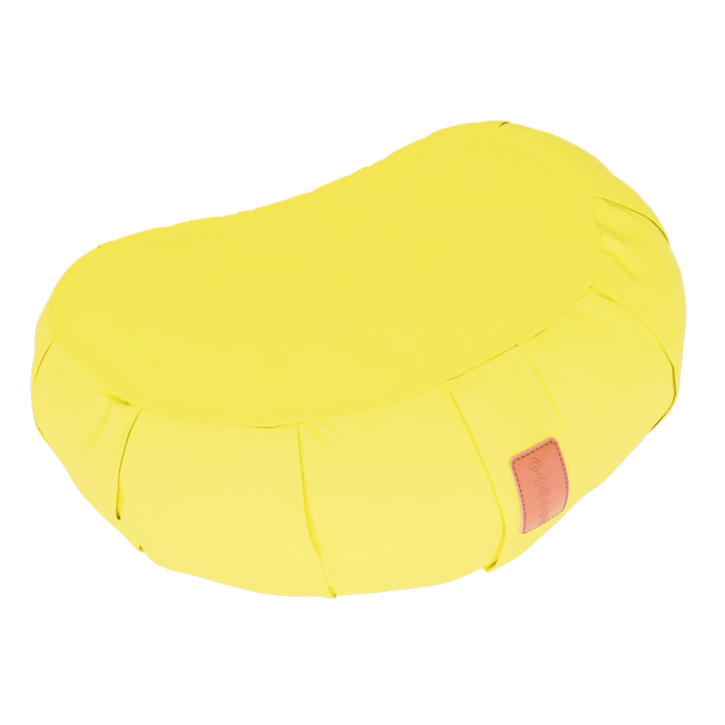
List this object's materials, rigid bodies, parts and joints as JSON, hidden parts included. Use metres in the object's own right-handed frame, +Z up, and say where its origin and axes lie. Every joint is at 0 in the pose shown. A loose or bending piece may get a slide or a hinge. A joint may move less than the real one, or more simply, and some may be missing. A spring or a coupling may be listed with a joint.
{
  "type": "crescent meditation cushion",
  "caption": "Plump kidney-shaped floor cushion with a pleated cloth side band, an overlapping flap and a sewn leather patch.",
  "frame": {"origin": "on the floor, under the middle of the cushion's bounding box", "axes": "+X along the cushion's length, -Y towards its round front with the flap, +Y towards its hollow back, +Z up"},
  "size_m": [0.452, 0.3279, 0.1582],
  "materials": {
    "band_cotton": "matt plain-weave cotton",
    "panel_cotton": "matt plain-weave cotton",
    "tan_leather": "satin tan leather"
  },
  "bodies": {
    "root": {"pleated_body": "band_cotton", "top_panel": "panel_cotton", "bottom_panel": "panel_cotton", "band_overlap": "band_cotton", "leather_patch": "tan_leather"}
  },
  "joints": []
}
